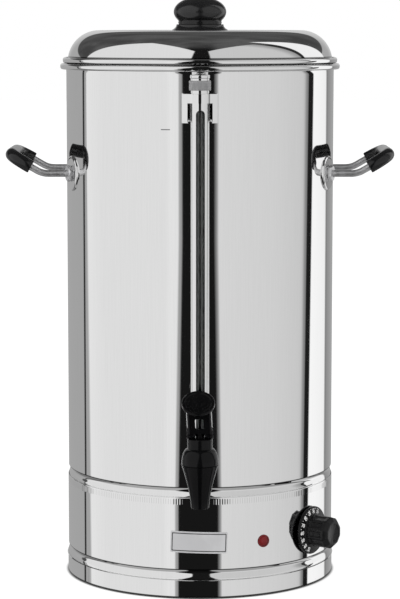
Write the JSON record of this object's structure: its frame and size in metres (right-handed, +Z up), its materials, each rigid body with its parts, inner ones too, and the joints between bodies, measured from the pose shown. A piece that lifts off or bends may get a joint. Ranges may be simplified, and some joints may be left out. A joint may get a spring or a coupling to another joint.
{
  "type": "hot water urn",
  "caption": "Electric catering hot water urn: round polished steel tank with loose domed lid, side handles, sight gauge, lever tap and thermostat dial.",
  "frame": {"origin": "on the urn's vertical axis, on the surface its feet stand on", "axes": "+Z up along the tank; the tap and sight gauge face -Y; +X to the right as seen from the front, the side of the thermostat dial"},
  "size_m": [0.39, 0.3535, 0.5862],
  "materials": {
    "polished_steel": "mirror-polished stainless steel",
    "plain_steel": "plain mill finish",
    "spreader_aluminium": "plain",
    "brass": "plain",
    "black_plastic": "glossy moulded",
    "black_sleeve": "satin sleeve",
    "rubber": "moulded",
    "ceramic_plastic": "heat-resistant moulding",
    "lead_sleeve": "sleeved wire",
    "red_lens": "clear dark red",
    "red_plastic": "moulded",
    "plate_silver": "satin foil plate, bare",
    "gauge_glass": "clear tube"
  },
  "bodies": {
    "urn": {"tank_shell": "polished_steel", "tank_floor": "plain_steel", "base_skirt": "polished_steel", "bottom_cover": "plain_steel", "cover_posts": "plain_steel", "cover_screws": "plain_steel", "rubber_feet": "rubber", "heat_spreader": "spreader_aluminium", "heating_element": "plain_steel", "element_clamp": "plain_steel", "clamp_nut": "plain_steel", "earth_stud": "brass", "thermostat_body": "ceramic_plastic", "thermostat_screws": "plain_steel", "thermostat_capillary": "brass", "bulb_clip": "plain_steel", "pilot_lens": "red_lens", "pilot_housing": "ceramic_plastic", "pilot_spring_nut": "plain_steel", "cutout_body": "ceramic_plastic", "cutout_nut": "plain_steel", "terminal_block": "ceramic_plastic", "terminal_screws": "brass", "internal_leads": "lead_sleeve", "cord_gland": "black_plastic", "gland_cap": "black_plastic", "gland_locknut": "black_plastic", "label_plate": "plate_silver", "handle_rod_left": "polished_steel", "handle_rod_right": "polished_steel", "handle_grip_left": "black_sleeve", "handle_grip_right": "black_sleeve", "handle_plates": "polished_steel", "handle_outer_nuts": "polished_steel", "handle_inner_nuts": "plain_steel", "handle_seals": "rubber", "tap_shank": "polished_steel", "shank_seals": "rubber", "shank_nut": "plain_steel", "tap_body": "black_plastic", "tap_bonnet": "black_plastic", "valve_spring": "plain_steel", "gauge_glass": "gauge_glass", "gauge_guard": "polished_steel", "gauge_cap": "polished_steel", "gauge_seals": "rubber", "gauge_bracket": "polished_steel"},
    "lid": {"lid_shell": "polished_steel", "lid_locating_ring": "plain_steel", "lid_knob": "black_plastic", "knob_collar": "black_plastic", "knob_screw": "plain_steel", "knob_washer": "plain_steel"},
    "thermostat_dial": {"thermostat_knob": "black_plastic", "thermostat_shaft": "plain_steel"},
    "tap_valve": {"valve_stem": "black_plastic", "seat_cup": "rubber"},
    "tap_handle": {"tap_lever": "black_plastic", "lever_pin": "polished_steel"},
    "cutout_button": {"reset_button": "red_plastic"}
  },
  "joints": [
    {"name": "lid_lift", "type": "slide", "parent": "urn", "child": "lid", "axis": [0, 0, 1], "range_m": [0, 0.3]},
    {"name": "thermostat_turn", "type": "hinge", "parent": "urn", "child": "thermostat_dial", "pos_m": [0.11326, -0.08229, 0.0565], "axis": [-0.809, 0.5878, 0], "range_deg": [0, 280]},
    {"name": "valve_lift", "type": "slide", "parent": "urn", "child": "tap_valve", "axis": [0, 0, 1], "range_m": [0, 0.0027], "deforming": ["valve_spring"]},
    {"name": "lever_tip", "type": "hinge", "parent": "tap_valve", "child": "tap_handle", "pos_m": [0, -0.179, 0.1736], "axis": [1, 0, 0], "range_deg": [0, 30], "stiffness_Nm_per_rad": 0.3},
    {"name": "reset_press", "type": "slide", "parent": "urn", "child": "cutout_button", "axis": [-0.4226, -0.9063, 0], "range_m": [0, 0.0015], "stiffness_N_per_m": 200}
  ],
  "couplings": [
    {"joint": "valve_lift", "follows": "lever_tip", "m_per_rad": 0.005}
  ]
}
